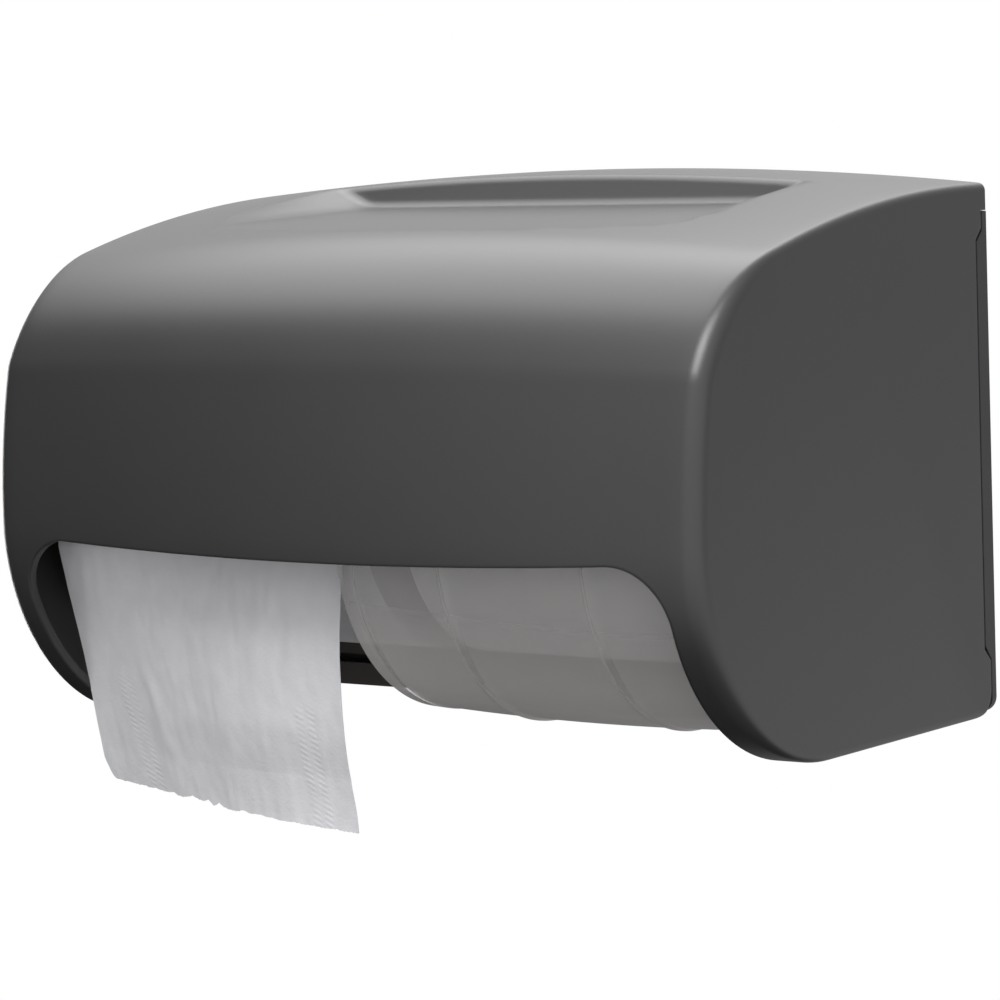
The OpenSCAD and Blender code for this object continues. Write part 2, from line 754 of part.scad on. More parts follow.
// Side view of an arm, moved in by g from its edges.
module arm_outline(g = 0) {
    root = axis_up - arm_root / 2;
    tip = [-axis_out, axis_up];
    low = [foot_y + foot_t, root];
    high = [foot_y + foot_t, root + arm_root];
    low_t = touch(low, tip, arm_tip_r, 1);
    high_t = touch(high, tip, arm_tip_r, -1);
    low_in = g * (tip - low_t) / arm_tip_r;
    high_in = g * (tip - high_t) / arm_tip_r;
    translate(tip) circle(arm_tip_r - g);
    polygon([low + low_in, low_t + low_in, tip, high_t + high_in, high + high_in]);
}

// An arm from x0 to x1 with a pocket of the given depth in each open face.
module arm_body(x0, x1, deep) {
    difference() {
        side_prism(x0, x1) arm_outline();
        for (x = [x0 - deep, x1 - deep])
            side_prism(x, x + 2 * deep) difference() {
                arm_outline(arm_rim);
                translate([-axis_out, axis_up]) circle(arm_tip_r - arm_rim / 2);
                translate([foot_y - 1, 0]) square([20, body_h]);
            }
    }
}

module foot_holes(x) {
    for (s = [-1, 1])
        y_cyl(small_screw / 2 + 0.2, foot_y - over, pad_y + over, x, axis_up + s * foot_screw_z);
}

module arm_left() {
    root = axis_up - arm_root / 2;
    color(arm_grey) placed() difference() {
        union() {
            arm_body(-arm_out, -arm_in, 0.9);
            front_prism(foot_y, pad_y)
                round_rect([-arm_out, root], [-arm_in + foot_w, root + arm_root], 3);
        }
        x_cyl(journal_r + journal_clear, -arm_out - over, -arm_in + over, -axis_out, axis_up);
        foot_holes(-arm_in + foot_w / 2);
    }
}

module arm_right() { mirror([1, 0, 0]) arm_left(); }

module arm_middle() {
    root = axis_up - arm_root / 2;
    color(arm_grey) placed() difference() {
        union() {
            arm_body(-mid_half, mid_half, mid_half - 2);
            front_prism(foot_y, pad_y) round_rect([-mid_half - foot_w, root],
                [mid_half + foot_w, root + arm_root], 3);
        }
        both_sides() x_cyl(journal_r + journal_clear, mid_half - socket_deep, mid_half + over,
            -axis_out, axis_up);
        both_sides() foot_holes(mid_half + foot_w / 2);
    }
}

module arm_screws() {
    color(steel) placed()
        for (x = [-1, 1] * (mid_half + foot_w / 2), s = [-1, 1])
            pan_screw_y(x, axis_up + s * foot_screw_z, foot_y, 1, foot_t + pad_h);
    color(steel) placed()
        for (x = [-1, 1] * (arm_in - foot_w / 2), s = [-1, 1])
            pan_screw_y(x, axis_up + s * foot_screw_z, foot_y, 1, foot_t + pad_h);
}

// --------------------------------------------------------- strike and lock

// Bracket with a hook that stands up in front of the turned tongue.
module strike() {
    color(steel) placed() difference() {
        union() {
            front_prism(strike_y - strike_t, strike_y)
                round_rect([-hook_x, strike_low], [-strike_in, tab_top], 3);
            box(-hook_x, -hook_x + hook_w, hook_y, strike_y, tab_top - tab_t, tab_top);
            box(-hook_x, -hook_x + hook_w, hook_y, hook_y + hook_t, tab_top - tab_t, hook_top);
        }
        for (x = strike_screws_x)
            y_cyl(small_screw / 2 + 0.2, strike_y - strike_t - over, strike_y + over,
                -x, strike_screw_z);
    }
}

module strike_screws() {
    color(steel) placed() for (x = strike_screws_x)
        pan_screw_y(-x, strike_screw_z, strike_y - strike_t, 1, strike_t + strike_pad + 1);
}

// The tongue points at the wall while the cover is free to open.
module lock_cam() {
    color(arm_grey) placed() difference() {
        union() {
            x_cyl(lock_d / 2, -shank_out, -tongue_in, -lock_out, lock_up);
            x_cyl(hub_r, -tongue_out, -tongue_in, -lock_out, lock_up);
            box(-tongue_out, -tongue_in, -lock_out, -lock_out + tongue_len - tongue_w / 2,
                lock_up - tongue_w / 2, lock_up + tongue_w / 2);
            x_cyl(tongue_w / 2, -tongue_out, -tongue_in,
                -lock_out + tongue_len - tongue_w / 2, lock_up);
        }
        difference() {
            x_cyl(lock_d, -clip_x - clip_t - 0.1, -clip_x + 0.1, -lock_out, lock_up);
            x_cyl(lock_d / 2 - clip_groove, -clip_x - over, -clip_x + over, -lock_out, lock_up);
        }
        box(-shank_out - over, -shank_out + 2.5, -lock_out - 0.7, -lock_out + 0.7,
            lock_up - 2, lock_up + 2);
    }
}

module lock_clip() {
    color(steel) placed() difference() {
        x_cyl(clip_r, -clip_x - clip_t, -clip_x, -lock_out, lock_up);
        x_cyl(lock_d / 2 - clip_groove, -clip_x - 2 * over, -clip_x + over, -lock_out, lock_up);
        box(-clip_x - 2 * over, -clip_x + over, -lock_out - 1.8, -lock_out + 1.8,
            lock_up - clip_r - over, lock_up);
    }
}

// --------------------------------------------------------------- spindles

// The left roll's spindle lies on x < 0: its fixed journal is in the side arm.
module spindle_sleeve_left() {
    color(spindle_grey) placed() translate([0, -axis_out, axis_up]) difference() {
        union() {
            x_cyl(sleeve_ro, -sleeve_x, -sleeve_mouth, 0, 0);
            x_cyl(journal_r, -arm_out + 0.4, -sleeve_x + eps, 0, 0);
        }
        x_cyl(sleeve_ri, -sleeve_x + disc_t, -sleeve_mouth + over, 0, 0);
    }
}

module spindle_plunger_left() {
    collar = sleeve_mouth - plunger_x - press_travel - 1;
    color(spindle_grey) placed() translate([0, -axis_out, axis_up]) difference() {
        union() {
            x_cyl(plunger_ro, -plunger_in, -plunger_x, 0, 0);
            x_cyl(core_d / 2 - slide_clear, -plunger_x - collar, -plunger_x, 0, 0);
            x_cyl(journal_r, -plunger_x - eps, -mid_half + socket_deep - spindle_gap, 0, 0);
        }
        x_cyl(plunger_ri, -plunger_in + seat_t, -plunger_x - disc_t, 0, 0);
        x_cyl(spring_d / 2 - seat_in, -plunger_in - over, -plunger_in + seat_t + over, 0, 0);
    }
}

// Round wire swept along a helix about the spindle's axis.
module spindle_spring_left() {
    sides = 6;
    per_turn = 14;
    wire_r = wire_d / 2;
    x0 = -sleeve_x + disc_t + wire_r + spring_gap;
    x1 = -plunger_in - wire_r - spring_gap;
    rings = spring_turns * per_turn;
    points = [for (i = [0:rings], k = [0:sides - 1])
        let (a = 360 * i / per_turn, b = 360 * k / sides,
            r = spring_d / 2 + wire_r * cos(b))
        [x0 + (x1 - x0) * i / rings + wire_r * sin(b), r * cos(a), r * sin(a)]];
    skin = [for (i = [0:rings - 1], k = [0:sides - 1])
        let (k2 = (k + 1) % sides)
        [i * sides + k, (i + 1) * sides + k, (i + 1) * sides + k2, i * sides + k2]];
    ends = [[for (k = [0:sides - 1]) k], [for (k = [sides - 1:-1:0]) rings * sides + k]];
    color(steel) placed() translate([0, -axis_out, axis_up])
        polyhedron(points, concat(skin, ends));
}

module spindle_sleeve_right() { mirror([1, 0, 0]) spindle_sleeve_left(); }
module spindle_plunger_right() { mirror([1, 0, 0]) spindle_plunger_left(); }
module spindle_spring_right() { mirror([1, 0, 0]) spindle_spring_left(); }

// ------------------------------------------------------------------- rolls

module tube_x(ro, ri, mid, w) {
    difference() {
        x_cyl(ro, mid - w / 2, mid + w / 2, -axis_out, axis_up);
        x_cyl(ri, mid - w / 2 - over, mid + w / 2 + over, -axis_out, axis_up);
    }
}

module core_left() { color(card_brown) placed() tube_x(core_ro, core_d / 2, -roll_mid, roll_w); }
module core_right() { mirror([1, 0, 0]) core_left(); }
module roll_left() { color(paper_white) placed() tube_x(roll_r, core_ro, -roll_mid, roll_w); }
module roll_right() { mirror([1, 0, 0]) roll_left(); }

// The loose end of the left roll comes off its front and hangs straight down.
module tissue_tail() {
    ri = roll_r + tail_gap;
    ro = ri + tail_t;
    x0 = -roll_mid - roll_w / 2;
    x1 = -roll_mid + roll_w / 2;
    lap = 10;
    color(paper_white) placed() intersection() {
        side_prism(x0, x1) union() {
            translate([-axis_out - ro, -tail_low_in - over])
                square([tail_t, axis_up + tail_low_in + over]);
            intersection() {
                translate([-axis_out, axis_up]) difference() {
                    circle(ro, $fn = 128);
                    circle(ri, $fn = 128);
                }
                translate([-axis_out, axis_up]) polygon([[0, 0], [-2 * ro, 0],
                    2 * ro * [-cos(lap), sin(lap)]]);
            }
        }
        front_prism(-body_d, 0) polygon([
            [x0 - over, body_h], [x0 - over, outlet_top / 2], [x0 + 7, -tail_low_out + 6],
            [x0 + 14, -tail_low_out], [x1, -tail_low_in], [x1 + over, -tail_low_in + 3],
            [x1 + over, body_h]
        ]);
    }
}

// ------------------------------------------------------------------ output

back_plate();
hinge_pin_left();
hinge_pin_right();
arm_left();
arm_middle();
arm_right();
arm_screws();
strike();
strike_screws();
cover();
upper_rail();
lower_rail();
upper_rail_screws();
lower_rail_screws();
shutter();
lock_cam();
lock_clip();
spindle_sleeve_left();
spindle_plunger_left();
spindle_spring_left();
spindle_sleeve_right();
spindle_plunger_right();
spindle_spring_right();
core_left();
core_right();
roll_left();
roll_right();
tissue_tail();
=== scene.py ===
import json
import math
import random

import bmesh
import bpy
from mathutils import Matrix, Vector, noise


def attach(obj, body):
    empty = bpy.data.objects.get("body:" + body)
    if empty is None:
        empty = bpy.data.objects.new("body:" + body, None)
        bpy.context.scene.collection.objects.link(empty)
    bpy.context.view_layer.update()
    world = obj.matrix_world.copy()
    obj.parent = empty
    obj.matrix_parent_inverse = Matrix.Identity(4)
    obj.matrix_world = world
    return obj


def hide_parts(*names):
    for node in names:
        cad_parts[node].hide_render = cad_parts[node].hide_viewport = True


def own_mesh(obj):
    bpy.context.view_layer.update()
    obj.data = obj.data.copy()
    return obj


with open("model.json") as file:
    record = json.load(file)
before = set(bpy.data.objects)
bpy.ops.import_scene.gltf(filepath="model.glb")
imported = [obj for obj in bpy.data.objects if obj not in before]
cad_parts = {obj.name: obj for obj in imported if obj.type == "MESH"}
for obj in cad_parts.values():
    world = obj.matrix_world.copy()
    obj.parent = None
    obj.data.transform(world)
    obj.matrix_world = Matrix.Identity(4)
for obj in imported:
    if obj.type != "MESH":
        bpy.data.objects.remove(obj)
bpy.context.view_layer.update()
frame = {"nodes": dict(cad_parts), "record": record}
nodes = frame["nodes"]

MM = 0.001
BASE_Z = -84.0          # underside of the cover over the origin, in mm

# Sizes in mm, with z from the underside. They are the solids' sizes, apart from the end
# edge, the outlet's corner and the shelf's slopes and edges, which follow the photo closer.
BODY_H, BODY_D, CROWN, WALL = 166.8, 167.5, 6.5, 3.0
HALF_W = 133.5
LOWER_R, FRONT_LEAN, REAR_FLAT = 69.0, 12.1, 8.0
SHOULDER_R, SHOULDER_TURN = 16.75, 14.5
BROW_R, TOP_TURN = 62.25, 14.5
END_R, END_R_LOW, END_SOFT_OUT, END_SOFT_RUN = 2.3, 5.5, 118.0, 40.0
BAND_W, OUTLET_TOP, OUTLET_DIP, OUTLET_R = 11.5, 64.4, 2.6, 18.5
SHELF_DROP, SHELF_FALL, SHELF_BACK, SHELF_HALF = 10.4, 2.8, 40.0, 78.0
SHELF_DEEP, SHELF_SPLAY, SHELF_SLOPE, SHELF_R = 80.0, 15.0, 2.5, 5.0
SHELF_DRAFT, SHELF_RIM_R, SHELF_FOOT_R = 0.62, 1.9, 2.3
HINGE_OUT, HINGE_UP, EAR_R, HUB_R, PIN_BORE_R, PIN_END = 11.5, 8.6, 8.4, 7.2, 2.55, 2.0
HUB_NOTCH_OUT = 19.5
SEAM_Y, SEAM_GAP, RIM_STEP, RIM_BEND, LIP_Z = 6.8, 0.8, 3.5, 153.0, 158.5
LOCK_OUT, LOCK_UP, LOCK_BORE_R, LOCK_END, KEY_R = 22.0, 148.0, 4.05, 2.5, 2.6
BOSS_R, BOSS_IN, CLIP_R, CLIP_X, CLIP_T, CLIP_GAP = 7.3, 126.5, 5.6, 128.05, 0.9, 0.3
RAIL_SCREW_X, RAIL_BOSS_R, WEB_FRONT = 100.0, 4.0, -160.9
LOW_SCREW_X, LOW_SCREW_Y, LOW_SCREW_R = 126.2, -23.0, 1.7
HEAD_R, HEAD_H, HEAD_GAP = 3.0, 1.8, 0.2
SHUTTER_RO, SHUTTER_T, SHUTTER_RISE = 60.0, 2.2, 12.0
SHUTTER_X0, SHUTTER_X1, SHUTTER_REAR = -3.7, 125.0, -26.3
SHUTTER_BELLY, SHUTTER_GAP, RAIL_T, WEB_MID = 2.0, 0.4, 2.0, 4.5
RIB_H, RIB_W, RIB_HALF, RIB_X = 0.8, 1.5, 2.0, (34.55, 86.75)
RIB_TOP_TURN, RIB_TOP_FADE, RIB_REAR, RIB_REAR_FADE = 9.6, 1.5, 8.5, 1.2
EDGE_RIM_W, EDGE_RIM_H, EDGE_LINE_X, EDGE_LINE_W, EDGE_LINE_H = 6.0, 0.45, 5.4, 0.6, 0.9
OVER, FAR_OVER = 2.0, 5.0   # how far a cutting tool stands out of what it cuts


def sind(a):
    return math.sin(math.radians(a))


def cosd(a):
    return math.cos(math.radians(a))


def ease(a, b, t):
    t = min(1.0, max(0.0, t))
    return a + (b - a) * t * t * (3 - 2 * t)


def metres(p):
    return Vector((p[0] * MM, p[1] * MM, (p[2] + BASE_Z) * MM))


# ---------------------------------------------------------------- camera

def add_camera():
    data = bpy.data.cameras.new("camera")
    azimuth, elevation, roll, distance, lens = 0.63079, 0.09727, -0.03346, 1.37357, 153.7
    data.sensor_width = 36.0
    data.lens = lens
    data.clip_start = 0.05
    data.clip_end = 50.0
    cam = bpy.data.objects.new("camera", data)
    bpy.context.scene.collection.objects.link(cam)
    target = metres((-13.3, -60.0, 69.286))
    back = Vector((math.sin(azimuth) * math.cos(elevation),
                   -math.cos(azimuth) * math.cos(elevation), math.sin(elevation)))
    right = (-back).cross(Vector((0, 0, 1))).normalized()
    up = right.cross(-back)
    r = right * math.cos(roll) + up * math.sin(roll)
    u = up * math.cos(roll) - right * math.sin(roll)
    place = target + back * distance
    cam.matrix_world = Matrix((
        (r.x, u.x, back.x, place.x),
        (r.y, u.y, back.y, place.y),
        (r.z, u.z, back.z, place.z),
        (0, 0, 0, 1),
    ))
    bpy.context.scene.camera = cam


add_camera()


# ------------------------------------------------------------- materials

def principled(name, **values):
    mat = bpy.data.materials.new(name)
    mat.use_nodes = True
    shader = mat.node_tree.nodes["Principled BSDF"]
    for key, value in values.items():
        label = key.replace("_", " ")
        for socket in shader.inputs:
            if socket.name.lower() == label.lower():
                socket.default_value = value
    return mat, mat.node_tree, shader


def add_node(tree, kind, **values):
    node = tree.nodes.new(kind)
    for key, value in values.items():
        setattr(node, key, value)
    return node


def object_coords(tree):
    return add_node(tree, "ShaderNodeTexCoord").outputs["Object"]


def math_node(tree, operation, a, b):
    node = add_node(tree, "ShaderNodeMath", operation=operation)
    for socket, value in zip(node.inputs, (a, b)):
        if isinstance(value, (int, float)):
            socket.default_value = value
        else:
            tree.links.new(value, socket)
    return node.outputs[0]


def ramp_node(tree, value, low, high, out_low, out_high, kind="SMOOTHSTEP"):
    node = add_node(tree, "ShaderNodeMapRange", interpolation_type=kind)
    tree.links.new(value, node.inputs["Value"])
    for label, number in (("From Min", low), ("From Max", high),
                          ("To Min", out_low), ("To Max", out_high)):
        node.inputs[label].default_value = number
    return node.outputs[0]


def noise_bump(tree, shader, scale, strength, distance, detail=4.0, edge=0.0):
    tex = add_node(tree, "ShaderNodeTexNoise")
    tex.inputs["Scale"].default_value = scale
    tex.inputs["Detail"].default_value = detail
    tree.links.new(object_coords(tree), tex.inputs["Vector"])
    bump = add_node(tree, "ShaderNodeBump")
    bump.inputs["Strength"].default_value = strength
    bump.inputs["Distance"].default_value = distance
    if edge:
        soft = add_node(tree, "ShaderNodeBevel", samples=4)
        soft.inputs["Radius"].default_value = edge
        tree.links.new(soft.outputs["Normal"], bump.inputs["Normal"])
    tree.links.new(tex.outputs["Fac"], bump.inputs["Height"])
    tree.links.new(bump.outputs["Normal"], shader.inputs["Normal"])


def mottle(tree, shader, scale, low, high):
    """Base colour that drifts a little between two values."""
    tex = add_node(tree, "ShaderNodeTexNoise")
    tex.inputs["Scale"].default_value = scale
    tex.inputs["Detail"].default_value = 3.0
    ramp = add_node(tree, "ShaderNodeValToRGB")
    ramp.color_ramp.elements[0].position = 0.3
    ramp.color_ramp.elements[1].position = 0.7
    ramp.color_ramp.elements[0].color = (*low, 1)
    ramp.color_ramp.elements[1].color = (*high, 1)
    tree.links.new(object_coords(tree), tex.inputs["Vector"])
    tree.links.new(tex.outputs["Fac"], ramp.inputs["Fac"])
    tree.links.new(ramp.outputs["Color"], shader.inputs["Base Color"])


def plastic(name, low, high, roughness, grain=0.03, scale=900.0, edge=0.0, shine=0.5):
    """Moulded plastic: a fine grain, and edges that look rounded by edge metres."""
    mat, tree, shader = principled(name, roughness=roughness)
    shader.inputs["Specular IOR Level"].default_value = shine
    mottle(tree, shader, 40.0, low, high)
    noise_bump(tree, shader, scale, grain, 0.0004, edge=edge)
    return mat


def paint_inner_shade(mat, colour):
    """Painted shade: faces that look inward or back get a dark base colour, in place of the shade
    inside the cover.
    """
    tree = mat.node_tree
    shader = tree.nodes["Principled BSDF"]
    coords = add_node(tree, "ShaderNodeTexCoord")
    place, normal = (add_node(tree, "ShaderNodeSeparateXYZ") for _ in range(2))
    tree.links.new(coords.outputs["Object"], place.inputs[0])
    tree.links.new(coords.outputs["Normal"], normal.inputs[0])
    outward = math_node(tree, "MULTIPLY", math_node(tree, "SIGN", place.outputs["X"], 0.0),
                        normal.outputs["X"])
    across = ramp_node(tree, outward, -0.85, -0.5, 1.0, 0.0)
    back = ramp_node(tree, normal.outputs["Y"], 0.2, 0.5, 0.0, 1.0)
    inside = math_node(tree, "MAXIMUM", across, back)
    # The mix paints the shade colour over the base colour where the mask is 1.
    mix = add_node(tree, "ShaderNodeMix", data_type="RGBA")
    tree.links.new(inside, mix.inputs["Factor"])
    tree.links.new(shader.inputs["Base Color"].links[0].from_socket, mix.inputs[6])
    mix.inputs[7].default_value = (*colour, 1)
    tree.links.new(mix.outputs[2], shader.inputs["Base Color"])


charcoal = plastic("cover_charcoal", (0.0355, 0.0350, 0.0365), (0.0372, 0.0367, 0.0382), 0.36,
                   edge=0.0014, shine=0.9)
# Painted shade on the cover's inward and back-facing faces.
paint_inner_shade(charcoal, (0.011, 0.009, 0.009))
plate_dark = plastic("plate_charcoal", (0.037, 0.037, 0.038), (0.039, 0.039, 0.040), 0.42,
                     0.05, edge=0.0005)
rail_dark = plastic("rail_black", (0.056, 0.046, 0.045), (0.062, 0.051, 0.050), 0.45,
                    edge=0.0005)
arm_dark = plastic("arm_black", (0.038, 0.038, 0.040), (0.046, 0.046, 0.048), 0.5, 0.08)
spindle_mat = plastic("spindle_grey", (0.34, 0.34, 0.35), (0.37, 0.37, 0.38), 0.42)


def smoke():
    """Smoke plastic: the flatter it is seen, the more plastic lies in the way."""
    mat, tree, shader = principled("shutter_smoke", roughness=0.28)
    shader.inputs["Base Color"].default_value = (0.75, 0.725, 0.715, 1)
    facing = add_node(tree, "ShaderNodeLayerWeight")
    facing.inputs["Blend"].default_value = 0.5
    body = ramp_node(tree, facing.outputs["Facing"], 0.3, 0.75, 0.28, 0.98, "LINEAR")
    tree.links.new(body, shader.inputs["Alpha"])
    noise_bump(tree, shader, 300.0, 0.03, 0.0004)
    return mat


shutter_mat = smoke()


def steel(name, colour, roughness, grain_axis):
    """Metal with fine turning or drawing lines across one axis."""
    mat, tree, shader = principled(name, roughness=roughness, metallic=1.0)
    shader.inputs["Base Color"].default_value = (*colour, 1)
    mapping = add_node(tree, "ShaderNodeMapping")
    mapping.inputs["Scale"].default_value = grain_axis
    tex = add_node(tree, "ShaderNodeTexNoise")
    tex.inputs["Scale"].default_value = 250.0
    tex.inputs["Detail"].default_value = 5.0
    bump = add_node(tree, "ShaderNodeBump")
    bump.inputs["Strength"].default_value = 0.08
    bump.inputs["Distance"].default_value = 0.0003
    tree.links.new(object_coords(tree), mapping.inputs["Vector"])
    tree.links.new(mapping.outputs["Vector"], tex.inputs["Vector"])
    tree.links.new(tex.outputs["Fac"], bump.inputs["Height"])
    tree.links.new(bump.outputs["Normal"], shader.inputs["Normal"])
    return mat


pin_mat = steel("pin_steel", (0.62, 0.62, 0.64), 0.2, (8, 1, 1))
screw_mat = steel("screw_steel", (0.60, 0.60, 0.62), 0.32, (1, 8, 1))
spring_mat = steel("spring_steel", (0.55, 0.55, 0.57), 0.28, (3, 3, 3))


def tissue(name, low, high, fibre=900.0):
    """Soft paper with fine fibres."""
    mat, tree, shader = principled(name, roughness=0.92, sheen_weight=0.15)
    mottle(tree, shader, 120.0, low, high)
    shader.inputs["Specular IOR Level"].default_value = 0.2
    noise_bump(tree, shader, fibre, 0.25, 0.0004, 6.0)
    return mat


tail_mat = tissue("tail_tissue", (0.80, 0.80, 0.83), (0.84, 0.84, 0.87))
# The roll is the same paper as the tail, set darker: painted shade that keeps its lit top from
# turning white.
roll_mat = tissue("roll_tissue", (0.76, 0.76, 0.77), (0.80, 0.80, 0.81))


def card():
    mat, tree, shader = principled("core_card", roughness=0.9)
    mottle(tree, shader, 180.0, (0.38, 0.28, 0.18), (0.50, 0.39, 0.26))
    noise_bump(tree, shader, 500.0, 0.2, 0.0004)
    return mat


card_mat = card()

SLOT_MATERIAL = {
    "cover_charcoal": charcoal, "plate_charcoal": plate_dark, "rail_black": rail_dark,
    "arm_black": arm_dark, "shutter_smoke": shutter_mat, "pin_steel": pin_mat,
    "screw_steel": screw_mat, "spring_steel": spring_mat, "spindle_grey": spindle_mat,
    "core_card": card_mat, "roll_tissue": roll_mat, "tail_tissue": tail_mat,
}
for part in frame["record"]["subparts"]:
    obj = nodes[part["node"]]
    obj.data.materials.clear()
    obj.data.materials.append(SLOT_MATERIAL[part["material_slot"]])


# ------------------------------------------------------------ mesh helpers

def new_object(name, verts, faces, mat):
    mesh = bpy.data.meshes.new(name)
    mesh.from_pydata([metres(v) for v in verts], [], faces)
    mesh.materials.append(mat)
    obj = bpy.data.objects.new(name, mesh)
    bpy.context.scene.collection.objects.link(obj)
    tidy_normals(mesh)
    return obj


def tidy_normals(mesh):
    bm = bmesh.new()
    bm.from_mesh(mesh)
    bmesh.ops.recalc_face_normals(bm, faces=bm.faces)
    bm.to_mesh(mesh)
    bm.free()


def smooth_by_angle(mesh, degrees):
    for poly in mesh.polygons:
        poly.use_smooth = True
    mesh.set_sharp_from_angle(angle=math.radians(degrees))


def apply_modifiers(obj):
    graph = bpy.context.evaluated_depsgraph_get()
    mesh = bpy.data.meshes.new_from_object(obj.evaluated_get(graph))
    obj.modifiers.clear()
    old = obj.data
    obj.data = mesh
    bpy.data.meshes.remove(old)


def cut(obj, tool, operation="DIFFERENCE"):
    mod = obj.modifiers.new("cut", "BOOLEAN")
    mod.operation = operation
    mod.solver = "EXACT"
    mod.object = tool
    apply_modifiers(obj)
    bpy.data.objects.remove(tool)


def finish_piece(obj, body, slot, *replaced):
    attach(obj, body)
    if replaced:
        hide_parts(*replaced)


# ------------------------------------------------------------- cover form

SHOULDER_END = FRONT_LEAN + SHOULDER_TURN
BROW_TURN = 90 - SHOULDER_END - TOP_TURN
DEPTH_LEFT = (BODY_D - REAR_FLAT
              - SHOULDER_R * (cosd(FRONT_LEAN) - cosd(SHOULDER_END))
              - BROW_R * (cosd(SHOULDER_END) - sind(TOP_TURN)))
HEIGHT_LEFT = (BODY_H - LOWER_R
               - SHOULDER_R * (sind(SHOULDER_END) - sind(FRONT_LEAN))
               - BROW_R * (cosd(TOP_TURN) - sind(SHOULDER_END)))
CHAIN = sind(FRONT_LEAN) * sind(TOP_TURN) - (1 - cosd(FRONT_LEAN)) * (1 - cosd(TOP_TURN))
FRONT_R = (HEIGHT_LEFT * sind(TOP_TURN) - DEPTH_LEFT * (1 - cosd(TOP_TURN))) / CHAIN
TOP_R = (DEPTH_LEFT * sind(FRONT_LEAN) - HEIGHT_LEFT * (1 - cosd(FRONT_LEAN))) / CHAIN
LOWER_C = (LOWER_R - BODY_D, LOWER_R)
FRONT_C = (FRONT_R - BODY_D, LOWER_R)
SHOULDER_C = (FRONT_C[0] - (FRONT_R - SHOULDER_R) * cosd(FRONT_LEAN),
              FRONT_C[1] + (FRONT_R - SHOULDER_R) * sind(FRONT_LEAN))
BROW_C = (SHOULDER_C[0] - (SHOULDER_R - BROW_R) * cosd(SHOULDER_END),
          SHOULDER_C[1] + (SHOULDER_R - BROW_R) * sind(SHOULDER_END))
TOP_C = (BROW_C[0] - (BROW_R - TOP_R) * sind(TOP_TURN),
         BROW_C[1] + (BROW_R - TOP_R) * cosd(TOP_TURN))


def side_outline(fine):
    """Points (y, z, normal angle) from the wall under the body round to the wall."""
    points = [(LOWER_C[0] * i / (4 * fine), 0.0, 270.0) for i in range(4 * fine + 1)]
    turn = 180 - FRONT_LEAN
    arcs = [
        (LOWER_C, LOWER_R, 270, 180, 20),
        (FRONT_C, FRONT_R, 180, turn, 6),
        (SHOULDER_C, SHOULDER_R, turn, turn - SHOULDER_TURN, 5),
        (BROW_C, BROW_R, 90 + TOP_TURN + BROW_TURN, 90 + TOP_TURN, 14),
        (TOP_C, TOP_R, 90 + TOP_TURN, 90, 12),
    ]
    for centre, radius, a0, a1, n in arcs:
        for i in range(1, n * fine + 1):
            a = a0 + (a1 - a0) * i / (n * fine)
            points.append((centre[0] + radius * cosd(a), centre[1] + radius * sind(a), a))
    points.append((0.0, BODY_H, 90.0))
    return points


def crown_at(x):
    """How far the top and the front stand out of their ends."""
    return CROWN * (1 - (x / HALF_W) ** 2)


def end_radius(y):
    """The end panel's edge: tight along the top, softer down the front."""
    return ease(END_R, END_R_LOW, (-y - END_SOFT_OUT) / END_SOFT_RUN)


def form_point(station, p, inset, back):
    """A point of the body's skin: outline point p at one station along x."""
    side, share, angle = station
    half = HALF_W - inset
    r = max(1.0, end_radius(p[0]) - inset)
    x = share * (half - r) if side == 0 else side * (half - r * (1 - sind(angle)))
    ny, nz = cosd(p[2]), sind(p[2])
    inward = inset + r * (1 - cosd(angle))
    y = p[0] + crown_at(x) * min(0, ny) - inward * ny
    z = p[1] + crown_at(x) * max(0, nz) - inward * nz
    return (x, back if p[0] == 0 else y, z)


def form_object(name, inset, back, steps, spans, fine, mat):
    """The body as a closed solid, inset from its skin, with rounded end edges.

    Its stations along x are steps round each end edge and spans between them, and fine
    multiplies the points of the side outline.
    """
    stations = [(-1, 0, 90 - 90 * i / steps) for i in range(steps + 1)]
    stations += [(0, -1 + 2 * i / spans, 0) for i in range(1, spans)]
    stations += [(1, 0, 90 * i / steps) for i in range(steps + 1)]
    line = side_outline(fine)
    m, n = len(line), len(stations)
    verts = [form_point(s, p, inset, back) for s in stations for p in line]
    faces = [(i * m + j, i * m + j + 1, (i + 1) * m + j + 1, (i + 1) * m + j)
             for i in range(n - 1) for j in range(m - 1)]
    faces += [(i * m + m - 1, i * m, (i + 1) * m, (i + 1) * m + m - 1)
              for i in range(n - 1)]
    faces.append(tuple(range(m - 1, -1, -1)))
    faces.append(tuple((n - 1) * m + j for j in range(m)))
    return new_object(name, verts, faces, mat)


def prism_object(name, outline, low, high, place, mat):
    """A closed outline of 2-D points, drawn from low to high by place(u, v, w)."""
    n = len(outline)
    verts = [place(u, v, w) for w in (low, high) for u, v in outline]
    faces = [(i, (i + 1) % n, n + (i + 1) % n, n + i) for i in range(n)]
    faces += [tuple(range(n)), tuple(range(2 * n - 1, n - 1, -1))]
    return new_object(name, verts, faces, mat)


def arc_points(centre, radius, a0, a1, n):
    return [(centre[0] + radius * cosd(a0 + (a1 - a0) * i / n),
             centre[1] + radius * sind(a0 + (a1 - a0) * i / n)) for i in range(n + 1)]


def outlet_outline():
    """The opening's outline in (x, z): round upper corners and an edge that dips."""
    half, below, turns, steps = HALF_W - BAND_W, -40.0, 24, 48
    flat = half - OUTLET_R
    dip_r = flat ** 2 / (2 * OUTLET_DIP)
    points = [(half, below)]
    points += arc_points((flat, OUTLET_TOP - OUTLET_R), OUTLET_R, 0, 90, turns)
    for i in range(1, steps):
        x = flat * (1 - 2 * i / steps)
        points.append((x, OUTLET_TOP - OUTLET_DIP + x * x / (2 * dip_r)))
    points += arc_points((-flat, OUTLET_TOP - OUTLET_R), OUTLET_R, 90, 180, turns)
    points.append((-half, below))
    return points


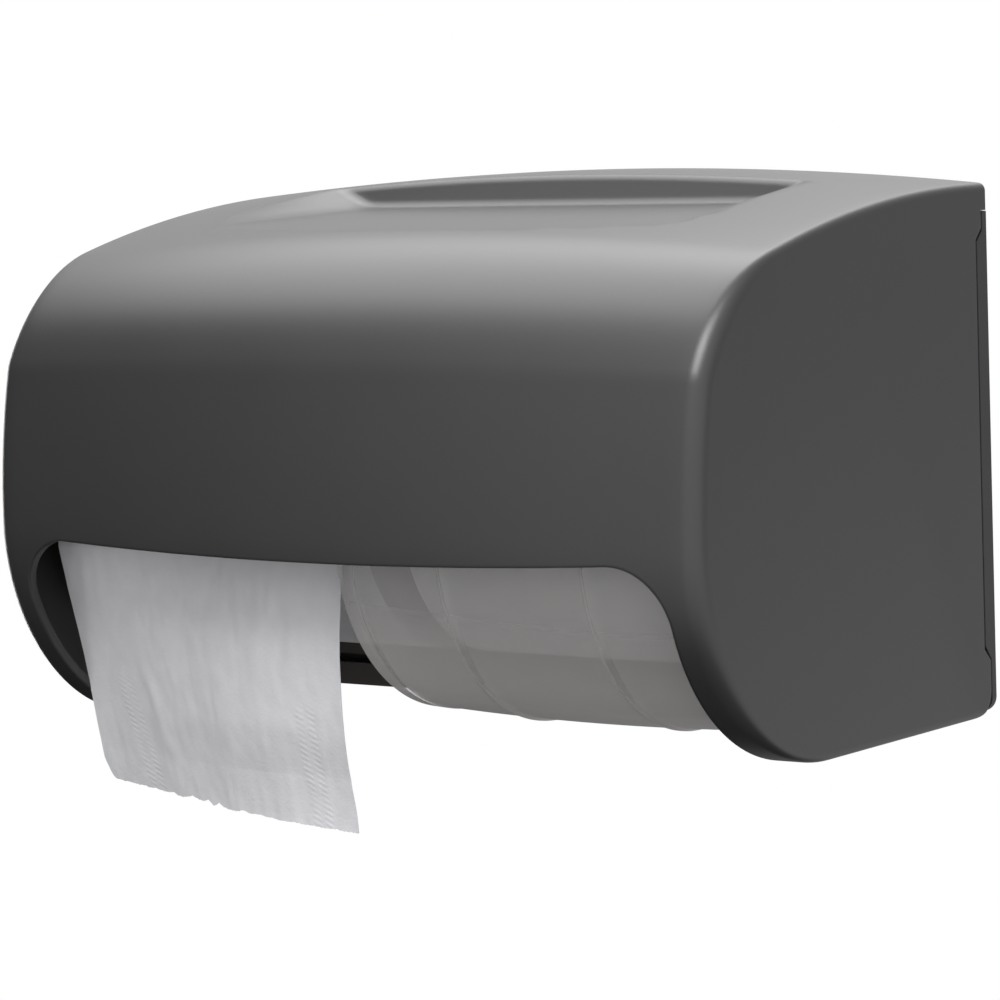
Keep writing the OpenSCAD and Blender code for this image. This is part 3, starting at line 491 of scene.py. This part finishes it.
def cheek_outline():
    """What the cover's end walls leave free at the wall, in (y, z)."""
    ear_back = EAR_R - HINGE_OUT
    seam_low = HINGE_UP + EAR_R + SEAM_GAP
    seam_high = seam_low + SEAM_Y + ear_back
    points = [(-SEAM_Y, RIM_BEND - RIM_STEP), (-SEAM_Y + RIM_STEP, RIM_BEND),
              (-SEAM_Y + RIM_STEP, LIP_Z), (FAR_OVER, LIP_Z), (FAR_OVER, -FAR_OVER),
              (-HINGE_OUT, -FAR_OVER)]
    points += arc_points((-HINGE_OUT, HINGE_UP), EAR_R, 270, 360, 12)
    points += [(ear_back, seam_low), (-SEAM_Y, seam_high)]
    return points


def skin_over_shelf(x, y, z):
    """How far the cover's skin lies over a point of the shelf."""
    reach = y - TOP_C[0]
    return TOP_C[1] + math.sqrt(TOP_R ** 2 - reach ** 2) + crown_at(x) - z


def shelf_rings():
    """Rings (height, inset) of the shelf's foot, then of its rim against the skin."""
    feet = [(SHELF_FOOT_R * (1 - cosd(a)), SHELF_FOOT_R * (1 - sind(a)))
            for a in range(0, 91, 15)]
    rims = [(SHELF_RIM_R * (sind(a) - 1), SHELF_RIM_R * (1 - cosd(a)))
            for a in range(0, 66, 8)]
    above, outward = 3.0, 10.0
    rims.append((above, rims[-1][1] + outward))
    return feet, rims


def shelf_turns(around=160, behind=16):
    """Directions round the shelf, with extra steps along its straight back wall."""
    turns = [(cosd(360 * i / around), sind(360 * i / around), 1.0) for i in range(around)]
    wall = [(0.0, 1.0, 1 - i / behind) for i in range(1, 2 * behind)]
    quarter = around // 4 + 1
    return turns[:quarter] + wall + turns[quarter:]


def shelf_point(turn, level, rim, grow, sink):
    """A point of a ring; a rim ring looks for its own height over the shelf."""
    ux, uy, share = turn
    h, inset = (0.0, 0.0) if rim else level
    for _ in range(3 if rim else 1):
        half = SHELF_HALF + grow - inset + SHELF_SLOPE * h
        corners = [(side * (half + (SHELF_SPLAY if deep else 0) - SHELF_R),
                    -SHELF_DEEP if deep else grow - inset - SHELF_R, deep)
                   for side in (-1, 1) for deep in (0, 1)]
        c = max(corners, key=lambda q: q[0] * ux + q[1] * uy)
        x = abs(c[0]) * share if uy == 1 else c[0] + SHELF_R * ux
        y = c[1] + SHELF_R * uy + (0 if c[2] else SHELF_DRAFT * h)
        if rim and not c[2]:
            y += level[1] * max(0.0, uy)
        low = (y * cosd(SHELF_FALL) - SHELF_BACK,
               y * sind(SHELF_FALL) + (BODY_H + CROWN - SHELF_DROP))
        if rim:
            h = max(SHELF_FOOT_R * 2, skin_over_shelf(x, *low)) + level[0]
    lift = h - sink
    return (x, low[0] - lift * sind(SHELF_FALL), low[1] + lift * cosd(SHELF_FALL))


def shelf_object(grow, mat):
    """The space over the shelf, with a soft foot and a rounded rim at the back wall."""
    feet, rims = shelf_rings()
    turns = shelf_turns()
    verts = [shelf_point(turn, level, k >= len(feet), grow, 0 if k else grow)
             for k, level in enumerate(feet + rims) for turn in turns]
    rings, n = len(feet) + len(rims), len(turns)
    faces = [(k * n + i, k * n + (i + 1) % n, (k + 1) * n + (i + 1) % n, (k + 1) * n + i)
             for k in range(rings - 1) for i in range(n)]
    faces.append(tuple(range(n - 1, -1, -1)))
    faces.append(tuple((rings - 1) * n + i for i in range(n)))
    return new_object("shelf_space", verts, faces, mat)


def along_y(u, v, w):
    return (u, w, v)


def along_x(u, v, w):
    return (w, u, v)


def along_z(u, v, w):
    return (u, v, w)


def rod(radius, low, high, centre, place, mat):
    circle = arc_points(centre, radius, 0, 360, 48)[:-1]
    return prism_object("rod", circle, low, high, place, mat)


def block(x0, x1, y0, y1, z0, z1, mat):
    return prism_object("block", [(x0, y0), (x1, y0), (x1, y1), (x0, y1)], z0, z1,
                        along_z, mat)


def front_y(x, z):
    """The front sheet's skin."""
    return FRONT_C[0] - math.sqrt(FRONT_R ** 2 - (z - LOWER_R) ** 2) - crown_at(x)


def add_fittings(shell):
    """Bosses and ears inside the cover, and the holes through them."""
    mat = charcoal
    hinge, lock = (-HINGE_OUT, HINGE_UP), (-LOCK_OUT, LOCK_UP)
    screw_z = (LOWER_R + SHUTTER_RO * sind(SHUTTER_RISE)
               + SHUTTER_GAP + RAIL_T + WEB_MID)
    solid = [rod(BOSS_R, -HALF_W + WALL / 2, -BOSS_IN, lock, along_x, mat)]
    for s in (-1, 1):
        a, b = sorted((s * SHUTTER_X1, s * (HALF_W - WALL / 2)))
        solid.append(rod(HUB_R, a, b, hinge, along_x, mat))
    for x in (-RAIL_SCREW_X, 0, RAIL_SCREW_X):
        solid.append(rod(RAIL_BOSS_R, front_y(x, screw_z) + WALL / 2, WEB_FRONT,
                         (x, screw_z), along_y, mat))
    for tool in solid:
        cut(shell, tool, "UNION")
    a, b = -CLIP_X - CLIP_T - CLIP_GAP, -CLIP_X + CLIP_GAP
    holes = [
        rod(LOCK_BORE_R, -HALF_W + LOCK_END, -BOSS_IN + OVER, lock, along_x, mat),
        rod(KEY_R, -HALF_W - OVER, -BOSS_IN, lock, along_x, mat),
        rod(CLIP_R + CLIP_GAP, a, b, lock, along_x, mat),
        block(a, b, -LOCK_OUT - CLIP_R - CLIP_GAP, -LOCK_OUT + CLIP_R + CLIP_GAP,
              LOCK_UP - BOSS_R - OVER, LOCK_UP, mat),
    ]
    for s in (-1, 1):
        a, b = sorted((s * (SHUTTER_X1 - OVER), s * (HALF_W - PIN_END)))
        holes.append(rod(PIN_BORE_R, a, b, hinge, along_x, mat))
        a, b = sorted((s * (HALF_W - BAND_W - OVER), s * SHUTTER_X1))
        holes.append(block(a, b, -HUB_NOTCH_OUT, OVER, -OVER, WALL + OVER, mat))
        place = (s * LOW_SCREW_X, LOW_SCREW_Y)
        holes.append(rod(LOW_SCREW_R, -OVER, WALL + OVER, place, along_z, mat))
        holes.append(rod(HEAD_R + HEAD_GAP, -OVER, HEAD_H + HEAD_GAP, place, along_z, mat))
    for tool in holes:
        cut(shell, tool)


def make_cover():
    """Skin less its inside, with the outlet and what the end walls leave free."""
    wall_gap, ahead, aside = 0.3, 200, 150
    shell = form_object("cover_skin", 0, -wall_gap, 10, 60, 2, charcoal)
    cut(shell, shelf_object(0, charcoal))
    core = form_object("cover_core", WALL, FAR_OVER, 4, 24, 2, charcoal)
    cut(core, shelf_object(WALL, charcoal))
    cut(shell, core)
    cut(shell, prism_object("outlet", outlet_outline(), -ahead, FAR_OVER, along_y, charcoal))
    cut(shell, prism_object("cheek", cheek_outline(), -aside, aside, along_x, charcoal))
    add_fittings(shell)
    smooth_by_angle(shell.data, 32)
    return shell


cover = make_cover()
finish_piece(cover, "cover_side", "cover_charcoal", "cover")


# ---------------------------------------------------------------- shutter

def bump_profile(d, half):
    """A rounded rib: 1 on its line, 0 at half its width and beyond."""
    return 0.5 + 0.5 * math.cos(math.pi * d / half) if abs(d) < half else 0.0


def rib_height(x):
    """Share of the rib height at x: two ribs, and a rim with a fine line at each edge."""
    height = sum(bump_profile(x - c - RIB_W / 2, RIB_HALF) for c in RIB_X)
    for edge, inward in ((SHUTTER_X0, 1), (SHUTTER_X1, -1)):
        d = (x - edge) * inward
        height += EDGE_RIM_H * ease(1, 0, (d - EDGE_RIM_W) / 0.8) \
            - EDGE_LINE_H * bump_profile(d - EDGE_LINE_X, EDGE_LINE_W)
    return min(1.0, height)


def shutter_crown(x, along, a, run):
    """The sheet bellies out a little between its side edges, lower front most."""
    share = (x - SHUTTER_X0) / (SHUTTER_X1 - SHUTTER_X0) * 2 - 1
    return SHUTTER_BELLY * (1 - share * share) * ease(0, 1, (a - 198) / 48) \
        * ease(1, 0, along / (run - 12))


def make_shutter():
    """Smoke sheet: an arc that runs into a flat floor, with soft moulded ribs.

    Each point of the line is its way along the floor and its angle on the arc.
    """
    turn = 90 + SHUTTER_RISE
    run = SHUTTER_REAR - LOWER_C[0]
    arc_n, flat_n, across = 90, 50, 420
    line = [(0.0, 180 - SHUTTER_RISE + turn * i / arc_n) for i in range(arc_n + 1)]
    line += [(run * i / flat_n, 270.0) for i in range(1, flat_n + 1)]
    rows = len(line)
    verts = []
    for inner in (False, True):
        for along, a in line:
            if along:
                rise = ease(1, 0, (along - (run - RIB_REAR)) / RIB_REAR_FADE)
            else:
                rise = ease(0, 1, (a - 180 + SHUTTER_RISE - RIB_TOP_TURN) / RIB_TOP_FADE)
            for i in range(across + 1):
                x = SHUTTER_X0 + (SHUTTER_X1 - SHUTTER_X0) * i / across
                r = SHUTTER_RO + shutter_crown(x, along, a, run)
                r += -SHUTTER_T if inner else RIB_H * rise * rib_height(x)
                verts.append((x, LOWER_C[0] + along + r * cosd(a), LOWER_C[1] + r * sind(a)))
    n = across + 1
    half = rows * n
    faces = []
    for j in range(rows - 1):
        for i in range(across):
            k = j * n + i
            faces.append((k, k + 1, k + n + 1, k + n))
            faces.append((half + k, half + k + n, half + k + n + 1, half + k + 1))
    for i in range(across):
        faces.append((i + 1, i, half + i, half + i + 1))
        k = (rows - 1) * n + i
        faces.append((k, k + 1, half + k + 1, half + k))
    for j in range(rows - 1):
        k = j * n
        faces.append((k, k + n, half + k + n, half + k))
        k += across
        faces.append((k + n, k, half + k, half + k + n))
    obj = new_object("shutter_sheet", verts, faces, shutter_mat)
    smooth_by_angle(obj.data, 50)
    return obj


shutter = make_shutter()
finish_piece(shutter, "shutter_side", "shutter_smoke", "shutter")


# ------------------------------------------------------------ tissue tail

TAIL_TOP, TAIL_FREE = 84.0, 60.0        # the roll's side, and where the sheet hangs free
TAIL_TOP_Y, TAIL_LEFT_Y, TAIL_RIGHT_Y = -140.8, -149.6, -149.2
TAIL_LEFT, TAIL_RIGHT = -121.8, -7.9
TAIL_LOW, TAIL_SLANT, TAIL_LEAN = -17.5, 7.6, 0.245
CORNER_UP, CORNER_SHARE = 7.0, 0.035
BULGE, BULGE_RUN, RETURN_Y, RETURN_TOP, RETURN_RUN = 3.2, 68.0, -146.2, 8.0, 32.0
# The sheet's waves: height, scale across and down, place in the noise, and whether only the
# part that hangs free has it.
WAVES = ((0.9, 0.035, 0.020, 3.1, True), (0.35, 0.11, 0.030, 8.7, True),
         (0.16, 0.30, 0.16, 4.4, False))


def tail_bottom(u):
    """Height of the torn edge; the outer corner is a little rounded."""
    return TAIL_LOW - TAIL_SLANT * u + CORNER_UP * max(0.0, 1 - u / CORNER_SHARE) ** 2


def tail_top_y(free_y, z):
    """Over its free part the sheet runs back to the roll."""
    return ease(free_y, TAIL_TOP_Y, (z - TAIL_FREE) / (TAIL_TOP - TAIL_FREE))


def tail_left_y(z):
    """The left side leans back to the wall as it goes down."""
    lean = TAIL_LEFT_Y + TAIL_LEAN * (TAIL_FREE - z)
    return lean if z < TAIL_FREE else tail_top_y(TAIL_LEFT_Y, z)


def tail_right_y(z):
    """The right side bulges forward, and comes back near the torn edge."""
    if z >= TAIL_FREE:
        return tail_top_y(TAIL_RIGHT_Y, z)
    bulge = TAIL_RIGHT_Y - BULGE * math.sin(math.pi * min(1, max(0, (TAIL_FREE - z) / BULGE_RUN)))
    return ease(bulge, RETURN_Y, (RETURN_TOP - z) / RETURN_RUN)


def tail_point(u, s, jag):
    """A point of the sheet, u across from the left and s down from the top, each 0 to 1."""
    z = TAIL_TOP + (tail_bottom(u) + jag - TAIL_TOP) * s
    y_left, y_right = tail_left_y(z), tail_right_y(z)
    y = y_left + (y_right - y_left) * ease(0, 1, 0.12 + u * 1.1)
    x_left = TAIL_LEFT - ease(0.3, 1.6, (z - 15) / 35)
    x_right = TAIL_RIGHT - 0.5 - 1.2 * math.exp(-((z + 8) / 12) ** 2)
    return [x_left + (x_right - x_left) * u, y, z]


def tail_emboss(u, z):
    """Two columns of short pressed bars along each side of the sheet."""
    span = TAIL_RIGHT - TAIL_LEFT
    half, apart, pitch, slant, press = 1.9, 2.3, 1.9, 0.45, 0.10
    low = min(1.0, max(0.0, (20 - z) / 40))
    depth = 0.0
    for centre, top in ((0.15 + 0.07 * low, 22), (0.865 + 0.02 * low, 16)):
        for column in (-apart, apart):
            d = abs((u - centre) * span - column)
            if d < half and z < top:
                bars = math.sin(2 * math.pi * (z + (u - centre) * span * slant) / pitch)
                worn = 0.5 + 0.5 * noise.noise(Vector((u * 9, z * 0.13, 1.7)))
                depth += press * worn * bars * ease(0, 1, (half - d) / 0.9) \
                    * ease(0, 1, (top - z) / 6)
    return depth


def tail_wrinkle(x, z, u):
    """Broad, middle and fine waves, and one soft crease near the left side."""
    free = min(1.0, max(0.0, (TAIL_TOP - z) / 50))
    height = 0.0
    for wave, across, down, layer, hangs in WAVES:
        place = Vector((x * across, z * down, layer))
        height += wave * noise.noise(place) * (free if hangs else 1.0)
    crease = (u - 0.26) * 114 - 0.22 * (18 - z)
    height += 0.4 * math.exp(-(crease / 2.6) ** 2) * ease(0, 1, (26 - z) / 12) \
        * ease(0, 1, (z + 16) / 20)
    return height


def make_tail():
    """One ply of paper that hangs from the roll, with a torn lower edge."""
    rng = random.Random(7)
    across, down, pitch = 300, 300, 46
    teeth = [rng.uniform(-1, 1) * (0.25 + 0.75 * math.exp(-((k / pitch - 0.45) / 0.17) ** 2))
             for k in range(pitch + 4)]
    torn = [rng.uniform(-0.13, 0.13) for _ in range(across + 1)]
    verts = []
    for j in range(down + 1):
        s = j / down
        for i in range(across + 1):
            u = i / across
            k = u * pitch
            tooth = teeth[int(k)] + (teeth[int(k) + 1] - teeth[int(k)]) * (k - int(k))
            p = tail_point(u, s, (tooth + torn[i]) * s ** 12)
            p[1] -= tail_emboss(u, p[2]) + tail_wrinkle(p[0], p[2], u)
            verts.append(p)
    n = across + 1
    faces = [(j * n + i, j * n + i + 1, (j + 1) * n + i + 1, (j + 1) * n + i)
             for j in range(down) for i in range(across)]
    obj = new_object("tail_sheet", verts, faces, tail_mat)
    thick = obj.modifiers.new("ply", "SOLIDIFY")
    thick.thickness = 0.0003
    thick.offset = 0
    apply_modifiers(obj)
    smooth_by_angle(obj.data, 60)
    return obj


tail = make_tail()
finish_piece(tail, "wall_side", "tail_tissue", "tissue_tail")
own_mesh(tail)


# ------------------------------------------------------------------ stage

def seen_plainly(tree):
    """1 for camera and transmission rays, 0 for the rest."""
    path = add_node(tree, "ShaderNodeLightPath")
    return math_node(tree, "MAXIMUM", path.outputs["Is Camera Ray"],
                     path.outputs["Is Transmission Ray"])


def mix_shaders(tree, share, first, second):
    mix = add_node(tree, "ShaderNodeMixShader")
    for socket, value in zip(mix.inputs, (share, first, second)):
        tree.links.new(value, socket)
    return mix.outputs[0]


def add_world():
    """White to the camera; as light, a room with a white wall behind the object."""
    world = bpy.data.worlds.new("world")
    world.use_nodes = True
    bpy.context.scene.world = world
    tree = world.node_tree
    room = tree.nodes["Background"]
    room.inputs["Color"].default_value = (1, 1, 1, 1)
    way = add_node(tree, "ShaderNodeSeparateXYZ")
    tree.links.new(add_node(tree, "ShaderNodeTexCoord").outputs["Generated"], way.inputs[0])

    def zone(axis, low, high, out_low, out_high):
        return ramp_node(tree, way.outputs[axis], low, high, out_low, out_high)

    def times(*values):
        total = values[0]
        for value in values[1:]:
            total = math_node(tree, "MULTIPLY", total, value)
        return total

    # The wall ends low on the left, where a dark screen gives the far edge its line.
    lean = math_node(tree, "ADD", way.outputs["Z"], times(way.outputs["X"], 0.3))
    wall = math_node(tree, "ADD", ramp_node(tree, lean, -0.24, -0.12, 0.0, 0.36),
                     times(zone("Z", -0.02, 0.16, 0.0, 0.4), zone("X", 0.1, 0.45, 1.0, 0.0)))
    # A brighter patch, which the shelf's left slope mirrors.
    patch = times(zone("Z", 0.26, 0.42, 0.0, 1.5), zone("X", -0.54, -0.4, 0.0, 1.0),
                  zone("X", -0.2, 0.0, 1.0, 0.0))
    back = times(math_node(tree, "ADD", wall, patch), zone("Y", 0.0, 0.5, 0.0, 1.0))
    front = times(zone("X", -0.73, -0.44, 0.0, 0.68), zone("X", -0.35, 0.2, 1.0, 1.2),
                  zone("Y", -0.1, 0.4, 1.0, 0.35))
    sides = times(zone("Z", -0.30, -0.05, 0.08, 1.0), math_node(tree, "MAXIMUM", back, front))
    # From the pale floor further off, in front and to the right.
    below = times(zone("Z", -0.06, -0.25, 0.0, 0.6), zone("Z", -0.75, -0.5, 0.0, 1.0),
                  zone("X", -0.7, -0.25, 0.0, 1.0))
    tree.links.new(math_node(tree, "ADD", sides, below), room.inputs["Strength"])
    white = add_node(tree, "ShaderNodeBackground")
    white.inputs["Color"].default_value = (1, 1, 1, 1)
    white.inputs["Strength"].default_value = 1.0
    sky = mix_shaders(tree, seen_plainly(tree), room.outputs[0], white.outputs[0])
    tree.links.new(sky, tree.nodes["World Output"].inputs["Surface"])


def add_floor():
    """A pale floor that takes the shadow, and turns into the white round it.

    Only camera and transmission rays see it, so it throws no light on the object.
    """
    floor_z, size, near, far = -0.55, 6.0, 0.9, 1.5
    mesh = bpy.data.meshes.new("floor")
    mesh.from_pydata([(-size, -size, floor_z), (size, -size, floor_z),
                      (size, size, floor_z), (-size, size, floor_z)], [], [(0, 1, 2, 3)])
    floor = bpy.data.objects.new("floor", mesh)
    bpy.context.scene.collection.objects.link(floor)
    mat, tree, shader = principled("floor", roughness=0.9)
    shader.inputs["Base Color"].default_value = (0.85, 0.85, 0.85, 1)
    unseen = add_node(tree, "ShaderNodeBsdfTransparent")
    glow = add_node(tree, "ShaderNodeEmission")
    glow.inputs["Strength"].default_value = 1.0
    length = add_node(tree, "ShaderNodeVectorMath", operation="LENGTH")
    tree.links.new(object_coords(tree), length.inputs[0])
    away = ramp_node(tree, length.outputs["Value"], near, far, 0.0, 1.0)
    ground = mix_shaders(tree, away, shader.outputs[0], glow.outputs[0])
    shown = mix_shaders(tree, seen_plainly(tree), unseen.outputs[0], ground)
    tree.links.new(shown, tree.nodes["Material Output"].inputs["Surface"])
    mesh.materials.append(mat)


def area_light(name, place, aim, size, power):
    data = bpy.data.lights.new(name, "AREA")
    data.shape = "RECTANGLE"
    data.size, data.size_y = size
    data.energy = power
    lamp = bpy.data.objects.new(name, data)
    bpy.context.scene.collection.objects.link(lamp)
    lamp.location = place
    lamp.rotation_euler = (Vector(aim) - Vector(place)).to_track_quat("-Z", "Y").to_euler()


add_world()
add_floor()
area_light("overhead_box", (-0.72, 0.25, 1.1), (-0.72, 0.25, 0), (1.05, 1.3), 10.9)
area_light("left_box", (-1.3, 0.35, -0.15), (0, 0, 0), (0.6, 0.6), 6)
area_light("front_box", (0.45, -0.95, 1.3), (0, -0.1, 0), (0.8, 0.8), 15)

scene = bpy.context.scene
scene.view_settings.view_transform = "Standard"
